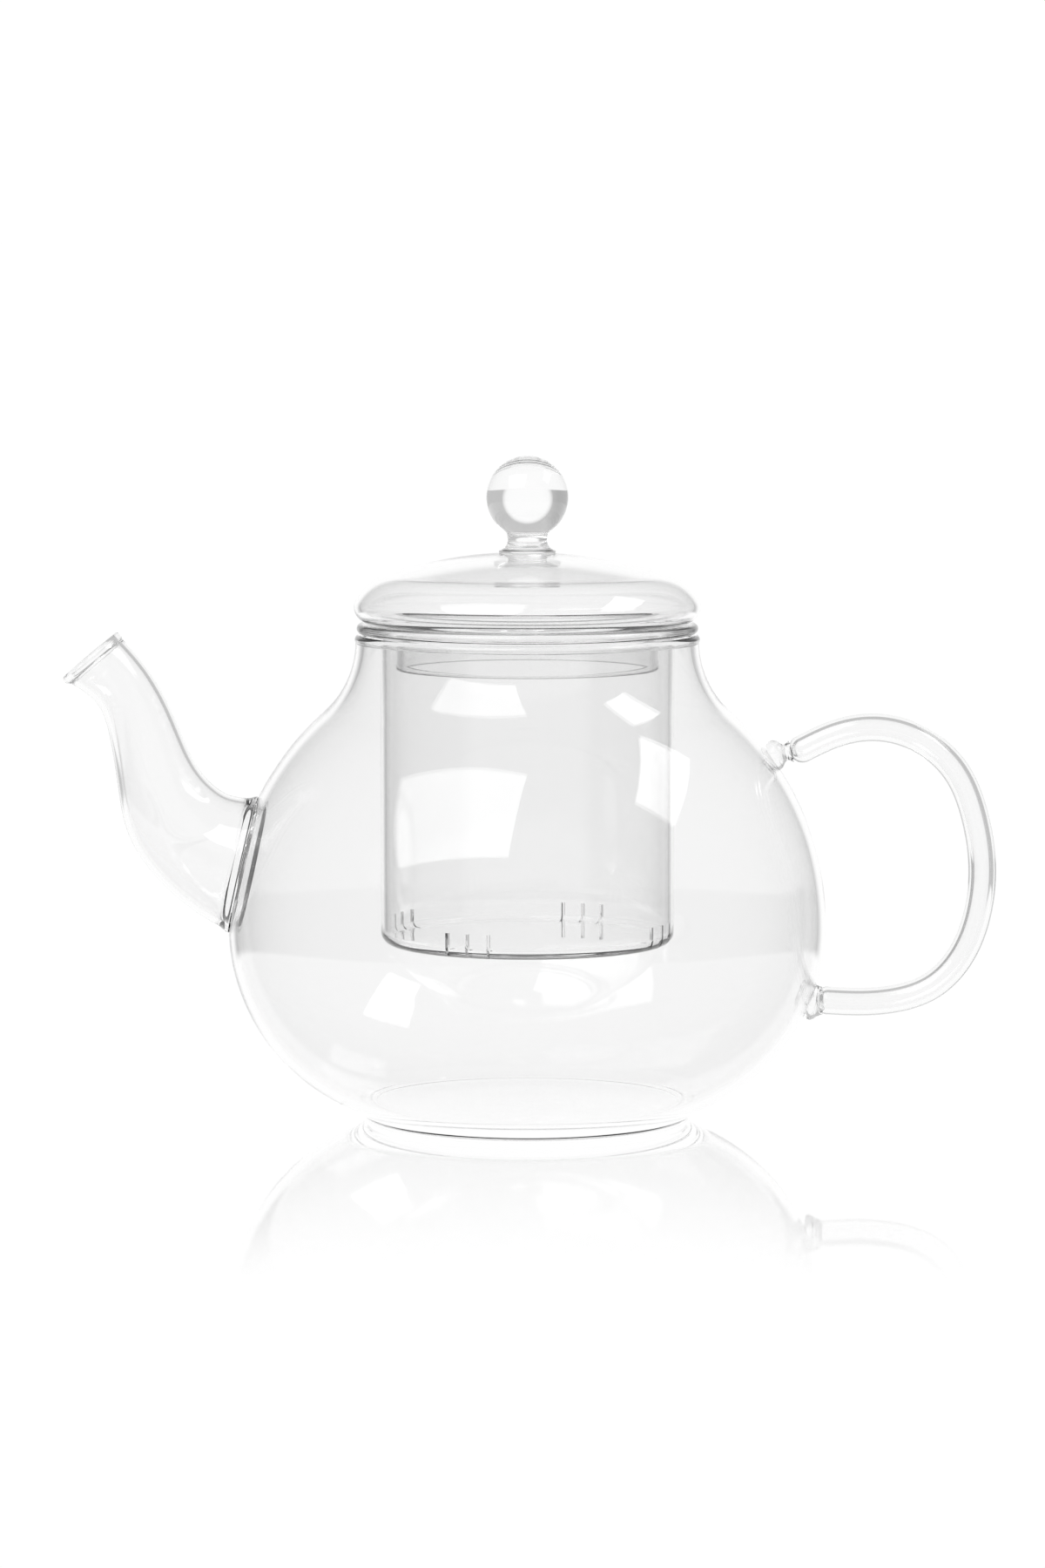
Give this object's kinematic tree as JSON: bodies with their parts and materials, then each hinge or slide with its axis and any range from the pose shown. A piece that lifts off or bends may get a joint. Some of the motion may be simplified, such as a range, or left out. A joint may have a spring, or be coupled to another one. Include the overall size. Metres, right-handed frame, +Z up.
{
  "type": "glass teapot with lift-out infuser",
  "caption": "Clear glass teapot: round blown body with swan-neck spout and tube handle, a slotted lift-out glass infuser, and a domed lid with a ball knob.",
  "frame": {"origin": "centre of the flat foot, on the pot's axis, at the surface that the pot stands on", "axes": "+Z up along the pot's axis, spout towards -X, handle towards +X"},
  "size_m": [0.2338, 0.15, 0.1664],
  "materials": {
    "borosilicate_glass": "clear, blown and fire-polished"
  },
  "bodies": {
    "pot": {"pot_bowl": "borosilicate_glass", "spout": "borosilicate_glass", "spout_seam": "borosilicate_glass", "handle_tube": "borosilicate_glass", "upper_handle_bead": "borosilicate_glass", "lower_handle_bead": "borosilicate_glass"},
    "infuser": {"infuser": "borosilicate_glass"},
    "lid": {"lid_dome": "borosilicate_glass", "lid_collar": "borosilicate_glass", "lid_knob": "borosilicate_glass"}
  },
  "joints": [
    {"name": "infuser_lift", "type": "slide", "parent": "pot", "child": "infuser", "axis": [0, 0, 1], "range_m": [0, 0.11]},
    {"name": "lid_lift", "type": "slide", "parent": "infuser", "child": "lid", "axis": [0, 0, 1], "range_m": [0, 0.06]}
  ]
}
